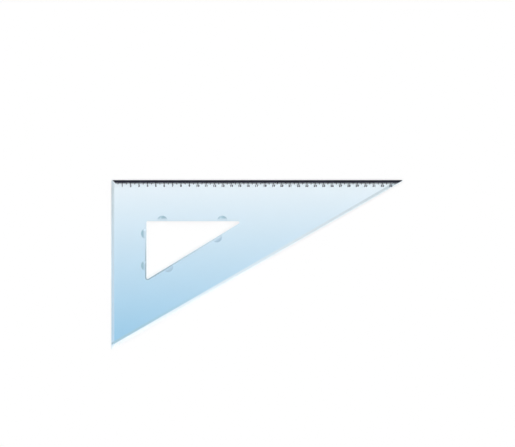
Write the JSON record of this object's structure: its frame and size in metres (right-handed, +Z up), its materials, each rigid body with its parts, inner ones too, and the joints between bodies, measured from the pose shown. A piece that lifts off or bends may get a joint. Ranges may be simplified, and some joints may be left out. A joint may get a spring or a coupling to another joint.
{
  "type": "drafting triangle",
  "caption": "Clear blue-tinted right-angled drafting triangle with bevelled edges, a triangular window with finger dishes, and a centimetre scale printed along its long edge.",
  "frame": {"origin": "centre of the bounding box, on the flat underside", "axes": "+X along the scale edge towards the sharp point, +Y towards the scale edge, +Z up out of the printed face"},
  "size_m": [0.3474, 0.2014, 0.0026],
  "materials": {
    "tinted_plastic": "polished clear plastic with a pale blue tint, deeper towards the foot",
    "black_ink": "printed blue-black ink"
  },
  "bodies": {
    "root": {"plate": "tinted_plastic", "scale_edge_line": "black_ink", "millimetre_marks": "black_ink", "half_centimetre_marks": "black_ink", "centimetre_marks": "black_ink"}
  },
  "joints": []
}
